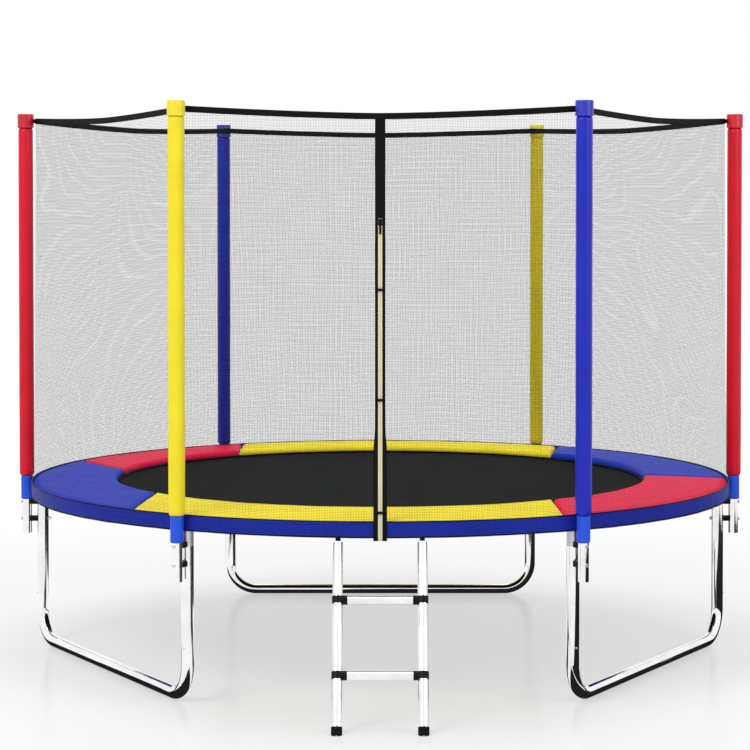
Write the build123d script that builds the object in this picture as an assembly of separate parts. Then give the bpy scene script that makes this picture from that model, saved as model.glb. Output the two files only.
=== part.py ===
from build123d import *
import math
import os

os.makedirs("parts", exist_ok=True)

# Round trampoline with a net enclosure, a padded safety surround and a ladder.
# The origin is on the floor at the centre of the ring. +Z is up and the entrance faces -Y.
# All sizes are in millimetres and all angles in degrees, counter-clockwise from +X.

# ---------------------------------------------------------------- driving dimensions
# Stations: a ring segment, a leg upright and an enclosure pole meet at each one.
station_names = ["right", "back_right", "back_left", "left", "front_left", "front_right"]
station_count = len(station_names)
full_turn = 360
station_step = full_turn / station_count
leg_pairs = {"back": ("back_right", "back_left"), "left": ("left", "front_left"),
             "right": ("front_right", "right")}
side_names = ["back_right", "back", "back_left", "front_left", "front", "front_right"]

# Ring tube and the leg sockets welded under it.
ring_radius = 1500.0
ring_height = 705.0
ring_diameter = 42.0
ring_wall = 1.5
socket_drop = 85.0
socket_bore_depth = 56.0
socket_top_drop = 5.0

# Legs: a U-shaped base tube and two uprights for each pair of stations.
leg_diameter = 50.0
leg_wall = 1.5
leg_bend_radius = 130.0
leg_joint_height = 200.0

# Tube joints: the reduced end of one tube slides into the next.
swage_length = 50.0
swage_gap = 0.15
swage_shoulder = 4.0
joint_gap = 0.1

# Enclosure poles, outside the legs.
pole_offset = 70.0
pole_diameter = 42.0
pole_wall = 1.2
pole_end_drop = 216.0
lower_pole_length = 911.0
upper_pole_length = 930.0

# Bolts that hold each pole to its leg, with a plastic spacer between the tubes.
bolt_drops = [77.0, 152.0]
bolt_diameter = 8.0
bolt_head_width = 13.0
bolt_head_height = 5.3
bolt_tail = 4.0
nut_height = 6.8
bolt_hole_gap = 0.2
spacer_width = 30.0
spacer_height = 22.0
seat_gap = 0.1

# Self-tapping screws in the tube joints.
screw_diameter = 4.2
screw_length = 10.0
screw_head_diameter = 9.0
screw_head_height = 3.0
screw_hole_gap = 0.05
leg_screw_rise = 22.0
ring_screw_inset = 30.0

# Sleeves and caps on the poles.
soft_gap = 0.3
base_sleeve_diameter = 54.0
foam_diameter = 66.0
foam_rise = 41.0
cap_diameter = 71.0
cap_roof = 16.0
cap_skirt = 44.0
cap_rim_height = 6.0
cap_rim_width = 1.0
cap_edge_radius = 4.0
cap_gap = 0.2

# Safety pad: six panels with seams between them, and a skirt round the outside.
skirt_offset = 34.0
skirt_thickness = 3.0
skirt_height = 61.0
pad_width = 335.0
pad_inner_thickness = 30.7
pad_outer_thickness = 15.7
pad_corner_bevel = 6.0
pad_seams = [(55, 45), (117, 126), (156, 173), (230, 217), (298, 307), (356, 356)]
pad_names = ["yellow_back", "red_left", "blue_left", "yellow_front", "red_right", "blue_right"]

# Jumping mat, its edge webbing and the V-rings sewn into it.
spring_space = 232.0
mat_thickness = 2.0
webbing_width = 46.0
webbing_thickness = 6.0
v_ring_wire = 4.0
v_ring_width = 38.0
v_ring_reach = 35.0
v_ring_embed = 6.0
v_ring_bend = 4.0
v_ring_gap = 0.1

# Springs between the V-rings and the ring tube.
spring_count = 60
spring_diameter = 20.0
spring_wire = 3.0
spring_end_plate = 3.0
spring_hook_length = 22.0
spring_hook_drop = 8.0
spring_hook_gap = 0.1
spring_rise = 11.0
slot_width = 8.0

# Net wall, its top hem and the corner tabs at the pole caps.
net_thickness = 2.0
net_skirt_gap = 0.8
net_knee_rise = 1.0
hem_corner_inset = 8.5
hem_height = 26.0
hem_thickness = 4.0
hem_drop = 31.0
hem_sag = 24.0
front_hem_sag = 37.0
hem_tab_width = 20.0

# Entrance strip in the front net panel: border, zip, slider and cross tabs.
border_width = 40.0
border_foot_width = 52.0
border_flare_height = 90.0
border_overhang = 10.0
border_thickness = 3.0
zip_width = 18.0
zip_thickness = 2.0
zip_rise = 1149.0
slider_height = 28.0
slider_thickness = 4.5
slider_travel_gap = 0.3
slider_side_gap = 0.5
pull_length = 34.0
pull_width = 9.0
pull_thickness = 2.0
tab_rises = {"lower": 34.0, "middle": 461.0, "upper": 883.0}
tab_height = 10.0
tab_end_width = 9.0
tab_thickness = 1.7
tab_slider_gap = 0.5

# Ladder: two rails that hook over the ring, with two rungs held by plastic tees.
ladder_spacing = 320.0
ladder_lean = 25.5
rail_diameter = 38.0
rail_wall = 1.5
rail_start = 46.0
rail_end_plate = 3.0
hook_width = 20.0
hook_thickness = 3.0
hook_clearance = 2.5
hook_seat_gap = 0.3
hook_pocket_gap = 0.6
hook_sweep = 180.0
rung_start = 270.0
rung_pitch = 288.0
rung_count = 2
rung_diameter = 30.0
rung_wall = 1.5
tee_wall = 2.2
tee_height = 28.0
tee_socket_length = 18.0
tee_gap = 0.1
ladder_bolt_diameter = 6.0
ladder_bolt_length = 12.0
ladder_bolt_head_diameter = 15.0
ladder_bolt_head_height = 4.5
foot_diameter = 42.0
foot_height = 28.0
foot_groove = 6.0

# ---------------------------------------------------------------- derived sizes
half_step = station_step / 2
ring_tube_radius = ring_diameter / 2
ring_bore_radius = ring_tube_radius - ring_wall
leg_tube_radius = leg_diameter / 2
leg_bore_radius = leg_tube_radius - leg_wall
pole_tube_radius = pole_diameter / 2
pole_bore_radius = pole_tube_radius - pole_wall
socket_bottom = ring_height - socket_drop
socket_bore_top = socket_bottom + socket_bore_depth
pole_bottom = ring_height - pole_end_drop
pole_joint_height = pole_bottom + lower_pole_length
pole_top = pole_joint_height + upper_pole_length
cap_bottom = pole_top + cap_gap - cap_skirt
cap_top = pole_top + cap_gap + cap_roof
bolt_heights = [ring_height - drop for drop in bolt_drops]
bolt_radius = bolt_diameter / 2
pole_circle_radius = ring_radius + pole_offset
pole_outer_face = pole_circle_radius + pole_tube_radius
leg_inner_face = ring_radius - leg_tube_radius
base_sleeve_bottom = max(bolt_heights) + spacer_height / 2 + soft_gap
foam_bottom = ring_height + foam_rise
foam_top = cap_bottom - soft_gap
skirt_radius = ring_radius + skirt_offset
pad_inner_radius = ring_radius - pad_width
pad_bottom = ring_height + ring_tube_radius + soft_gap
pad_radius = skirt_radius - skirt_thickness - soft_gap
skirt_top = pad_bottom + pad_outer_thickness
skirt_bottom = skirt_top - skirt_height
mat_radius = ring_radius - spring_space
spring_height = ring_height + spring_rise
spring_radius = spring_diameter / 2
webbing_bottom = spring_height - webbing_thickness / 2
mat_bottom = webbing_bottom + webbing_thickness
v_ring_corner = mat_radius + v_ring_reach
v_ring_half_angle = math.atan(v_ring_width / 2 / (v_ring_reach + v_ring_embed))
v_ring_tip = v_ring_corner - v_ring_bend * (1 / math.sin(v_ring_half_angle) - 1)
net_radius = skirt_radius + net_skirt_gap + net_thickness / 2
hem_corner_radius = pole_circle_radius - cap_diameter / 2 - hem_corner_inset
hem_distance = hem_corner_radius * math.cos(math.radians(half_step))
hem_corner_height = cap_top - hem_drop
hem_lowest = hem_corner_height - front_hem_sag - hem_height / 2
net_top = hem_lowest - soft_gap
net_knee = skirt_top + net_knee_rise
zip_top = net_knee + zip_rise
hook_radius = ring_tube_radius + hook_clearance
hook_height = ring_height - hook_clearance + hook_seat_gap
hook_y = -math.sqrt(ring_radius ** 2 - (ladder_spacing / 2) ** 2)
rail_radius = rail_diameter / 2
rung_radius = rung_diameter / 2


def station_angle(name):
    return station_names.index(name) * station_step


def around(solid, angle):
    return Rot(0, 0, angle) * solid


def on_axis(radius, angle, height):
    turn = math.radians(angle)
    return Vector(radius * math.cos(turn), radius * math.sin(turn), height)


def upright_rod(radius, low, high, x=0.0, y=0.0):
    return Pos(x, y, (low + high) / 2) * Cylinder(radius, high - low)


def upright_tube(outer, inner, low, high, x=0.0):
    return upright_rod(outer, low, high, x) - upright_rod(inner, low, high, x)


def radial_rod(radius, inner_end, outer_end, height):
    middle = (inner_end + outer_end) / 2
    return Pos(middle, 0, height) * Rot(0, 90, 0) * Cylinder(radius, outer_end - inner_end)


def ring_arc(section, start, span):
    # Turns a section drawn in the XZ plane about the Z axis.
    return around(revolve(Plane.XZ * section, Axis.Z, span), start)


def swage(outer_radius, bore_radius, wall, joint, x=0.0):
    # Reduced end above a joint, with the solid shoulder that joins it to its tube.
    reduced = bore_radius - swage_gap
    sleeve = upright_tube(reduced, reduced - wall, joint - swage_shoulder, joint + swage_length, x)
    shoulder = upright_tube(outer_radius, reduced - wall, joint - swage_shoulder, joint, x)
    return sleeve + shoulder


def save(name, pieces):
    solids = [solid for piece in pieces for solid in piece.solids()]
    shape = solids[0] if len(solids) == 1 else Compound(children=solids)
    export_step(shape, f"parts/{name}.step")


# ---------------------------------------------------------------- ring and springs
def ring_section(outer, inner):
    return Pos(ring_radius, ring_height) * (Circle(outer) - Circle(inner))


def make_ring_segment():
    reduced = ring_bore_radius - swage_gap
    swage_turn = math.degrees(swage_length / ring_radius)
    shoulder_turn = math.degrees(swage_shoulder / ring_radius)
    gap_turn = math.degrees(joint_gap / ring_radius)
    round_tube = Pos(ring_radius, ring_height) * Circle(ring_tube_radius)
    round_bore = Pos(ring_radius, ring_height) * Circle(ring_bore_radius)
    tube = ring_arc(round_tube, -half_step, station_step - gap_turn)
    socket = upright_rod(leg_tube_radius, socket_bottom, ring_height - socket_top_drop, ring_radius)
    bore = ring_arc(round_bore, -half_step, station_step - gap_turn)
    socket_bore = upright_rod(leg_bore_radius, socket_bottom, socket_bore_top, ring_radius)
    segment = tube + socket - bore - socket_bore
    neck_start = half_step - gap_turn - shoulder_turn
    neck_bore = reduced - ring_wall
    segment += ring_arc(ring_section(reduced, neck_bore), neck_start, shoulder_turn + swage_turn)
    segment += ring_arc(ring_section(ring_tube_radius, neck_bore), neck_start, shoulder_turn)
    spring_step = full_turn / spring_count
    slot_depth = ring_tube_radius
    slot_middle = ring_radius - ring_tube_radius
    slot = Pos(slot_middle, 0, spring_height) * Box(slot_depth, slot_width, slot_width)
    slots = []
    for index in range(round(station_step / spring_step)):
        slots.append(around(slot, (index + 0.5) * spring_step - half_step))
    hole = radial_rod(bolt_radius + bolt_hole_gap, ring_radius - leg_diameter, ring_radius + leg_diameter,
                      max(bolt_heights))
    screw_hole = upright_rod(screw_diameter / 2 + screw_hole_gap, ring_height - ring_diameter, ring_height,
                             ring_radius)
    screw_turn = math.degrees(ring_screw_inset / ring_radius)
    screw_holes = [around(screw_hole, -half_step + screw_turn), around(screw_hole, half_step + screw_turn)]
    return segment - slots - hole - screw_holes


def make_v_ring():
    base = mat_radius - v_ring_embed
    half_width = v_ring_width / 2
    triangle = make_face(Polyline((base, half_width), (v_ring_corner, 0), (base, -half_width), close=True))
    path = (Pos(0, 0, spring_height) * fillet(triangle.vertices(), v_ring_bend)).wires()[0]
    wire = Plane(origin=path @ 0, z_dir=path % 0) * Circle(v_ring_wire / 2)
    return sweep(wire, path)


def make_spring():
    wire_radius = spring_wire / 2
    inner_hook = v_ring_tip - v_ring_wire / 2 - spring_hook_gap - wire_radius
    inner_hook_height = spring_height + v_ring_wire / 2 + spring_hook_gap + wire_radius
    chord = math.sqrt(ring_bore_radius ** 2 - spring_rise ** 2)
    outer_hook = ring_radius - chord + wire_radius + spring_hook_gap
    coil_start = v_ring_tip + spring_hook_length
    coil_end = ring_radius - ring_tube_radius - spring_hook_length
    coil = radial_rod(spring_radius, coil_start, coil_end, spring_height)
    coil -= radial_rod(spring_radius - spring_wire, coil_start + spring_end_plate,
                       coil_end - spring_end_plate, spring_height)
    inner_arm = radial_rod(wire_radius, inner_hook - wire_radius, coil_start, inner_hook_height)
    outer_arm = radial_rod(wire_radius, coil_end, outer_hook + wire_radius, spring_height)
    inner_tip_low = inner_hook_height - spring_hook_drop
    inner_tip = upright_rod(wire_radius, inner_tip_low, inner_hook_height, inner_hook)
    outer_tip = upright_rod(wire_radius, spring_height - spring_hook_drop, spring_height, outer_hook)
    return coil + inner_arm + outer_arm + inner_tip + outer_tip


# ---------------------------------------------------------------- legs
def chord_plane(first, second):
    start = on_axis(ring_radius, station_angle(first), 0)
    end = on_axis(ring_radius, station_angle(second), 0)
    along = (end - start).normalized()
    return Plane(origin=start, x_dir=along, z_dir=along.cross(Vector(0, 0, 1))), (end - start).length


def leg_screw_hole(height):
    return radial_rod(screw_diameter / 2 + screw_hole_gap, ring_radius, ring_radius + leg_diameter, height)


def make_leg_base(first, second):
    plane, length = chord_plane(first, second)
    path = plane * FilletPolyline(
        (0, leg_joint_height), (0, leg_tube_radius), (length, leg_tube_radius), (length, leg_joint_height),
        radius=leg_bend_radius)
    section = Plane(origin=path @ 0, z_dir=path % 0) * (Circle(leg_tube_radius) - Circle(leg_bore_radius))
    base = sweep(section, path)
    end = swage(leg_tube_radius, leg_bore_radius, leg_wall, leg_joint_height, ring_radius)
    end -= leg_screw_hole(leg_joint_height + leg_screw_rise)
    for name in (first, second):
        base += around(end, station_angle(name))
    return base


def make_leg_upright():
    low = leg_joint_height + joint_gap
    high = socket_bottom - joint_gap
    upright = upright_tube(leg_tube_radius, leg_bore_radius, low, high, ring_radius)
    upright += swage(leg_tube_radius, leg_bore_radius, leg_wall, high, ring_radius)
    for height in bolt_heights:
        upright -= radial_rod(bolt_radius + bolt_hole_gap, ring_radius - leg_diameter,
                              ring_radius + leg_diameter, height)
    return upright - leg_screw_hole(leg_joint_height + leg_screw_rise)


# ---------------------------------------------------------------- poles
def make_lower_pole():
    joint = pole_joint_height
    pole = upright_tube(pole_tube_radius, pole_bore_radius, pole_bottom, joint, pole_circle_radius)
    pole += swage(pole_tube_radius, pole_bore_radius, pole_wall, joint, pole_circle_radius)
    for height in bolt_heights:
        pole -= radial_rod(bolt_radius + bolt_hole_gap, pole_circle_radius - pole_diameter,
                           pole_circle_radius + pole_diameter, height)
    return pole


def make_upper_pole():
    return upright_tube(pole_tube_radius, pole_bore_radius, pole_joint_height + joint_gap, pole_top,
                        pole_circle_radius)


def make_spacer(height):
    inner = ring_radius
    outer = pole_circle_radius
    block = Pos((inner + outer) / 2, 0, height) * Box(outer - inner, spacer_width, spacer_height)
    block -= upright_rod(leg_tube_radius + seat_gap, height - spacer_height, height + spacer_height, inner)
    block -= upright_rod(pole_tube_radius + seat_gap, height - spacer_height, height + spacer_height, outer)
    return block - radial_rod(bolt_radius + bolt_hole_gap, inner, outer, height)


def hexagon_prism(across, inner_end, outer_end, height):
    hexagon = RegularPolygon(across / 2, 6, major_radius=False)
    return Pos(inner_end, 0, height) * Rot(0, 90, 0) * extrude(hexagon, outer_end - inner_end)


def make_bolt(height):
    head_face = pole_outer_face + seat_gap
    tail = leg_inner_face - seat_gap - nut_height - bolt_tail
    shank = radial_rod(bolt_radius, tail, head_face, height)
    return shank + hexagon_prism(bolt_head_width, head_face, head_face + bolt_head_height, height)


def make_nut(height):
    face = leg_inner_face - seat_gap
    nut = hexagon_prism(bolt_head_width, face - nut_height, face, height)
    return nut - radial_rod(bolt_radius + screw_hole_gap, face - nut_height, face, height)


def make_screw():
    # Points along +X with its head face at the origin side and its seat at x = 0.
    shank = Pos(-screw_length / 2, 0, 0) * Rot(0, 90, 0) * Cylinder(screw_diameter / 2, screw_length)
    head = Cylinder(screw_head_diameter / 2, screw_head_height)
    head = Pos(screw_head_height / 2, 0, 0) * Rot(0, 90, 0) * head
    return shank + head


def make_base_sleeve():
    return upright_tube(base_sleeve_diameter / 2, pole_tube_radius + soft_gap, base_sleeve_bottom,
                        foam_bottom - soft_gap, pole_circle_radius)


def make_foam_sleeve():
    return upright_tube(foam_diameter / 2, pole_tube_radius + soft_gap, foam_bottom, foam_top,
                        pole_circle_radius)


def make_pole_cap():
    body = upright_rod(cap_diameter / 2, cap_bottom, cap_top, pole_circle_radius)
    body = fillet(body.edges().group_by(Axis.Z)[-1], min(cap_edge_radius, cap_roof / 2))
    rim = upright_rod(cap_diameter / 2 + cap_rim_width, cap_bottom, cap_bottom + cap_rim_height,
                      pole_circle_radius)
    bore = upright_rod(pole_tube_radius + cap_gap, cap_bottom, pole_top + cap_gap, pole_circle_radius)
    return body + rim - bore


# ---------------------------------------------------------------- mat, pad and skirt
def make_webbing():
    inner = mat_radius - webbing_width
    webbing = upright_rod(mat_radius, webbing_bottom, mat_bottom)
    webbing -= upright_rod(inner, webbing_bottom, mat_bottom)
    pocket_depth = v_ring_embed + v_ring_wire / 2 + v_ring_gap
    pocket = Pos(mat_radius - pocket_depth / 2, 0, spring_height) * Box(
        pocket_depth, v_ring_width + v_ring_wire + 2 * v_ring_gap, v_ring_wire + 2 * v_ring_gap)
    # The pockets run out through the webbing's edge, where the arc falls back from the box.
    mouth = Pos(mat_radius, 0, spring_height) * Box(
        v_ring_embed, v_ring_width + v_ring_wire + 2 * v_ring_gap, v_ring_wire + 2 * v_ring_gap)
    cutter = pocket + mouth
    return webbing - [around(cutter, turn) for turn in spring_turns()]


def spring_turns():
    step = full_turn / spring_count
    return [(index + 0.5) * step for index in range(spring_count)]


def seam_point(angle_pair, share):
    # Along a seam: share 0 is on the pad's inner edge and share 1 on its outer edge.
    outer = on_axis(skirt_radius, angle_pair[0], 0)
    inner = on_axis(pad_inner_radius, angle_pair[1], 0)
    point = inner + (outer - inner) * share
    return (point.X, point.Y)


def make_pad_panel(first_seam, second_seam):
    pad_top = pad_bottom + pad_outer_thickness
    inner_top = pad_bottom + pad_inner_thickness
    outline = Polyline((pad_inner_radius, pad_bottom), (pad_radius, pad_bottom), (pad_radius, pad_top),
                       (pad_inner_radius, inner_top), close=True)
    section = make_face(outline)
    corners = section.vertices().group_by(Axis.X)[0].sort_by(Axis.Y)
    section = chamfer(corners[-1], pad_corner_bevel)
    middle = (first_seam[0] + second_seam[0] + (full_turn if second_seam[0] < first_seam[0] else 0)) / 2
    start = middle - station_step
    body = ring_arc(section, start, 2 * station_step)
    far = on_axis(2 * skirt_radius, middle, 0)
    wedge = make_face(Polyline(seam_point(first_seam, -1), seam_point(first_seam, 0),
                               seam_point(first_seam, 2), (far.X, far.Y), seam_point(second_seam, 2),
                               seam_point(second_seam, 0), seam_point(second_seam, -1), close=True))
    return body & extrude(wedge, 2 * ring_height)


def cut_hook_pockets(panel):
    # Shallow dents in the underside where the foam presses over the ladder hooks.
    width = hook_width + 2 * hook_pocket_gap
    top = hook_height + hook_radius + hook_thickness + soft_gap
    depth = 2 * hook_radius
    for side in (-1, 1):
        panel -= Pos(side * ladder_spacing / 2, hook_y, (pad_bottom + top) / 2 - soft_gap) * Box(
            width, depth, top - pad_bottom + 2 * soft_gap)
    return panel


def make_skirt():
    rectangle = Pos(skirt_radius - skirt_thickness / 2, (skirt_bottom + skirt_top) / 2) * Rectangle(
        skirt_thickness, skirt_height)
    return ring_arc(rectangle, 0, full_turn)


# ---------------------------------------------------------------- net enclosure
def side_sag(name):
    return front_hem_sag if name == "front" else hem_sag


def side_angle(name):
    return (side_names.index(name) + 0.5) * station_step


def hem_curve(sag, drop):
    # Sagging line between two corners in the YZ plane, drop below the hem's centre line.
    half_chord = hem_distance * math.tan(math.radians(half_step))
    radius = (half_chord ** 2 + sag ** 2) / (2 * sag)
    reach = half_chord + 2 * hem_thickness
    low = hem_corner_height - sag - drop
    high = low + radius - math.sqrt(radius ** 2 - reach ** 2)
    return ThreePointArc((-reach, high), (0, low), (reach, high)), reach, high


def wedge_prism():
    far = 2 * pole_circle_radius
    width = far * math.tan(math.radians(half_step))
    wedge = make_face(Polyline((0, 0), (far, -width), (far, width), close=True))
    return extrude(wedge, 2 * cap_top)


def make_hem():
    hem = None
    for name in side_names:
        lower, reach, low_end = hem_curve(side_sag(name), hem_height / 2)
        upper, reach, high_end = hem_curve(side_sag(name), -hem_height / 2)
        face = make_face([lower, upper, Line((-reach, low_end), (-reach, high_end)),
                          Line((reach, low_end), (reach, high_end))])
        band = extrude(Plane.YZ * face, hem_thickness)
        band = Pos(hem_distance - hem_thickness / 2, 0, 0) * band & wedge_prism()
        side = around(band, side_angle(name))
        hem = side if hem is None else hem + side
    tab_start = hem_corner_radius - hem_thickness / 2
    tab_end = pole_circle_radius - cap_diameter / 2 - soft_gap
    tab = Pos((tab_start + tab_end) / 2, 0, hem_corner_height) * Box(
        tab_end - tab_start, hem_tab_width, hem_height - 2 * hem_thickness)
    for name in station_names:
        hem += around(tab, station_angle(name))
    return hem


def net_band(distance, height):
    # Thin four-sided outline of the net under the hem, between two radial planes.
    slope = math.tan(math.radians(half_step))
    near = distance - net_thickness / 2
    far = distance + net_thickness / 2
    outline = Polyline((near, -near * slope), (far, -far * slope), (far, far * slope), (near, near * slope),
                       close=True)
    return Pos(0, 0, height) * make_face(outline)


def net_foot(height):
    near = net_radius - net_thickness / 2
    far = net_radius + net_thickness / 2
    start = on_axis(1, -half_step, 0)
    end = on_axis(1, half_step, 0)
    outline = [Line(start * near, start * far), CenterArc((0, 0), far, -half_step, station_step),
               Line(end * far, end * near), CenterArc((0, 0), near, -half_step, station_step)]
    return Pos(0, 0, height) * make_face(outline)


def make_net_panel(name):
    wall = loft([net_foot(net_knee), net_band(hem_distance, net_top)], ruled=True)
    wall += extrude(net_foot(skirt_bottom), net_knee - skirt_bottom)
    wall += extrude(net_band(hem_distance, net_top), hem_corner_height - net_top)
    lower, reach, end = hem_curve(side_sag(name), hem_height / 2 + soft_gap)
    above = make_face([lower, Line((-reach, end), (-reach, cap_top)), Line((-reach, cap_top), (reach, cap_top)),
                       Line((reach, cap_top), (reach, end))])
    cutter = Pos(hem_distance - 2 * hem_thickness, 0, 0) * extrude(Plane.YZ * above, 4 * hem_thickness)
    return around(wall - cutter, side_angle(name))


# ---------------------------------------------------------------- entrance
def entrance_plane():
    # On the net's centre line above the pad: local Y runs up the strip and local Z outwards.
    foot = Vector(0, -net_radius, net_knee)
    head = Vector(0, -hem_distance, net_top)
    up = (head - foot).normalized()
    return Plane(origin=foot, x_dir=(1, 0, 0), z_dir=Vector(1, 0, 0).cross(up))


def strip_band(width, thickness, top):
    # The bent strip that hangs down over the skirt and leans with the net above the pad.
    lean = math.atan((net_radius - hem_distance) / (net_top - net_knee))
    sides = []
    for offset in (-thickness / 2, thickness / 2):
        foot = -net_radius - offset
        knee = net_knee + offset * math.tan(lean / 2)
        head = foot + (top - knee) * math.tan(lean)
        sides.append([(foot, skirt_bottom - border_overhang), (foot, knee), (head, top)])
    profile = make_face(Polyline(*sides[0], *reversed(sides[1]), close=True))
    return extrude(Plane.YZ * profile, width / 2, both=True)


def border_prism(top):
    # The border's outline seen from the front: it widens over the pad's edge.
    half = border_width / 2
    foot = border_foot_width / 2
    bottom = skirt_bottom - border_overhang
    flare = bottom + border_flare_height
    outline = make_face(Polyline((-foot, bottom), (foot, bottom), (half, flare), (half, top), (-half, top),
                                 (-half, flare), close=True))
    return Pos(0, -hem_distance / 2, 0) * extrude(Plane.XZ * outline, pole_circle_radius)


def strip_block(x_range, y_range, z_range):
    size = [high - low for low, high in (x_range, y_range, z_range)]
    middle = [(high + low) / 2 for low, high in (x_range, y_range, z_range)]
    return Pos(*middle) * Box(*size)


def make_border():
    border = strip_band(border_foot_width, border_thickness, net_top) & border_prism(net_top)
    return border - strip_band(zip_width, 2 * border_thickness, zip_top)


def make_zip_tape():
    return strip_band(zip_width, zip_thickness, zip_top)


def make_slider():
    lean = math.atan((net_radius - hem_distance) / (net_top - net_knee))
    top = zip_rise / math.cos(lean) - slider_travel_gap
    seat = border_thickness / 2 + slider_travel_gap
    half = zip_width / 2 - slider_side_gap
    body = strip_block((-half, half), (top - slider_height, top), (seat, seat + slider_thickness))
    keel = strip_block((-half, half), (top - slider_height, top),
                       (zip_thickness / 2 + slider_travel_gap, seat + pull_thickness))
    pull_low = top - slider_height - pull_length
    pull_high = top - slider_height / 2
    pull = strip_block((-pull_width / 2, pull_width / 2), (pull_low, pull_high),
                       (seat + slider_thickness - pull_thickness, seat + slider_thickness))
    return entrance_plane() * (body + keel + pull)


def make_tab(rise):
    half = border_width / 2
    seat = border_thickness / 2 + slider_travel_gap
    bridge = seat + slider_thickness + tab_slider_gap
    y_range = (rise - tab_height / 2, rise + tab_height / 2)
    tab = strip_block((-half, half), y_range, (seat, bridge + tab_thickness))
    tab -= strip_block((tab_end_width - half, half - tab_end_width), y_range, (seat, bridge))
    return entrance_plane() * tab


# ---------------------------------------------------------------- ladder
def ladder_plane():
    # Origin on the hook axis: local X is the ladder's width, local Y runs down the rails.
    lean = math.radians(ladder_lean)
    down = Vector(0, -math.sin(lean), -math.cos(lean))
    return Plane(origin=(0, hook_y, hook_height), x_dir=(1, 0, 0), z_dir=Vector(1, 0, 0).cross(down))


def along_rail(radius, low, high, x=0.0):
    return Pos(x, (low + high) / 2, 0) * Rot(90, 0, 0) * Cylinder(radius, high - low)


def rail_floor_distance():
    return hook_height / math.cos(math.radians(ladder_lean))


def above_floor(solid):
    size = 4 * ring_radius
    return solid & (Pos(0, 0, size / 2) * Box(size, size, size))


def make_rail(side):
    x = side * ladder_spacing / 2
    end = rail_floor_distance() - foot_height / 2
    tube = along_rail(rail_radius, rail_start, end, x)
    tube -= along_rail(rail_radius - rail_wall, rail_start + rail_end_plate, end, x)
    tongue = Pos(x, (hook_radius + rail_start) / 2 + hook_thickness / 2, 0) * Box(
        hook_width, rail_start - hook_radius, hook_thickness)
    # The hook's arc lies in the local YZ plane, from the rail side round to the ring's far side.
    arc = revolve(Plane.XY * Pos(0, hook_radius + hook_thickness / 2) * Rectangle(hook_width, hook_thickness),
                  Axis.X, hook_sweep)
    probe = Pos(x, 0, 0) * arc
    rail = tube + tongue + probe
    for rise in rung_places():
        rail -= Pos(x, rise, 0) * bolt_shaft(screw_hole_gap)
    return ladder_plane() * rail


def rung_places():
    return [rung_start + index * rung_pitch for index in range(rung_count)]


def bolt_shaft(gap):
    # A bolt's shank from outside the tee to inside the rail, along local -Z.
    top = rail_radius + tee_gap + tee_wall + seat_gap
    shaft = Cylinder(ladder_bolt_diameter / 2 + gap, ladder_bolt_length)
    return Pos(0, 0, top - ladder_bolt_length / 2) * shaft


def make_rung(place):
    half = ladder_spacing / 2 - rail_radius - soft_gap
    rod = Pos(0, place, 0) * Rot(0, 90, 0) * Cylinder(rung_radius, 2 * half)
    bore = Pos(0, place, 0) * Rot(0, 90, 0) * Cylinder(rung_radius - rung_wall, 2 * half)
    return ladder_plane() * (rod - bore)


def make_tee(side, place):
    x = side * ladder_spacing / 2
    collar = along_rail(rail_radius + tee_gap + tee_wall, place - tee_height / 2, place + tee_height / 2, x)
    socket_end = x - side * (rail_radius + tee_socket_length)
    socket = Pos((x + socket_end) / 2, place, 0) * Rot(0, 90, 0) * Cylinder(
        rung_radius + tee_gap + tee_wall, abs(x - socket_end))
    rung_bore = Pos((x + socket_end) / 2, place, 0) * Rot(0, 90, 0) * Cylinder(
        rung_radius + tee_gap, abs(x - socket_end))
    rail_bore = along_rail(rail_radius + tee_gap, place - tee_height, place + tee_height, x)
    tee = collar + socket - rung_bore - rail_bore
    tee -= Pos(x, place, 0) * bolt_shaft(screw_hole_gap)
    return ladder_plane() * tee


def make_ladder_bolt(side, place):
    face = rail_radius + tee_gap + tee_wall + seat_gap
    head = Pos(0, 0, face + ladder_bolt_head_height / 2) * Cylinder(
        ladder_bolt_head_diameter / 2, ladder_bolt_head_height)
    head = fillet(head.edges().group_by(Axis.Z)[-1], ladder_bolt_head_height / 2)
    bolt = Pos(side * ladder_spacing / 2, place, 0) * (head + bolt_shaft(0))
    return ladder_plane() * bolt


def make_foot(side):
    x = side * ladder_spacing / 2
    end = rail_floor_distance()
    cup = along_rail(foot_diameter / 2, end - foot_height, end + foot_height, x)
    cup -= along_rail(rail_radius + tee_gap, end - foot_height, end - foot_height / 2 + tee_gap, x)
    foot = above_floor(ladder_plane() * cup)
    groove = Pos(x, hook_y, 0) * Box(foot_groove, 2 * ring_radius, foot_groove)
    return foot - groove


# ---------------------------------------------------------------- write the parts
segment = make_ring_segment()
upright = make_leg_upright()
lower_pole = make_lower_pole()
foam_sleeve = make_foam_sleeve()
for name in station_names:
    save(f"ring_segment_{name}", [around(segment, station_angle(name))])
    save(f"pole_lower_{name}", [around(lower_pole, station_angle(name))])
    save(f"foam_sleeve_{name}", [around(foam_sleeve, station_angle(name))])

for name, (first, second) in leg_pairs.items():
    save(f"leg_base_{name}", [make_leg_base(first, second)])


def at_stations(pieces, names=station_names):
    return [around(piece, station_angle(name)) for name in names for piece in pieces]


save("leg_uprights", at_stations([upright]))
save("poles_upper", at_stations([make_upper_pole()]))
save("pole_base_sleeves", at_stations([make_base_sleeve()]))
save("pole_spacers", at_stations([make_spacer(height) for height in bolt_heights]))
save("pole_bolts", at_stations([make_bolt(height) for height in bolt_heights]))
save("pole_nuts", at_stations([make_nut(height) for height in bolt_heights]))
cap_colours = {"red": ["right", "left"], "yellow": ["back_right", "front_left"],
               "blue": ["back_left", "front_right"]}
for colour, names in cap_colours.items():
    save(f"pole_caps_{colour}", at_stations([make_pole_cap()], names))

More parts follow.
